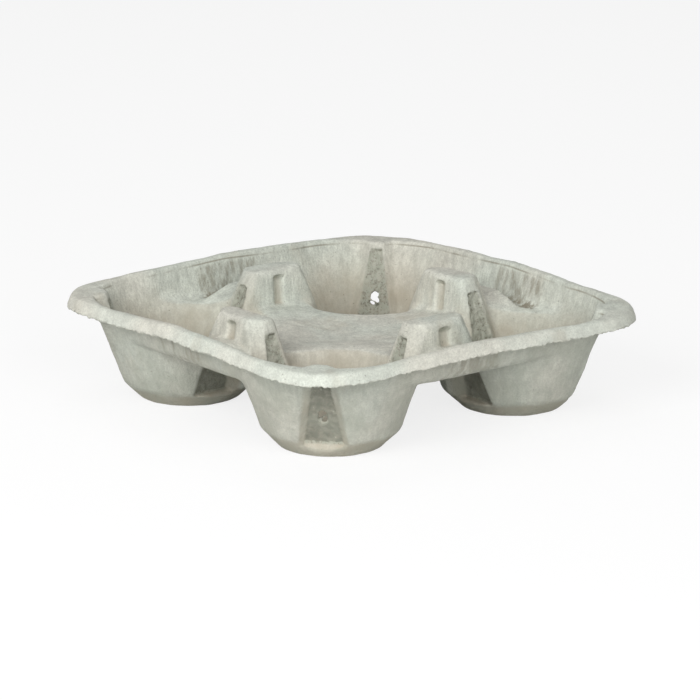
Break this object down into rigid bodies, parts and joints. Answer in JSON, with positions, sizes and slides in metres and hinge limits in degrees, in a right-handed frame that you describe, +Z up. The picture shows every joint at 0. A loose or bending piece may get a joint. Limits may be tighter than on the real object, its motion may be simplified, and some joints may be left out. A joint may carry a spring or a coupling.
{
  "type": "cup carrier",
  "caption": "Moulded pulp cup carrier: a square tray with rounded corners, a tapered well in each corner and a post between each pair of wells.",
  "frame": {"origin": "on the floor, under the middle of the carrier", "axes": "+Z up; X and Y along the two pairs of sides"},
  "size_m": [0.215, 0.215, 0.053],
  "materials": {
    "pulp": "matte"
  },
  "bodies": {
    "root": {"cup_carrier": "pulp"}
  },
  "joints": []
}
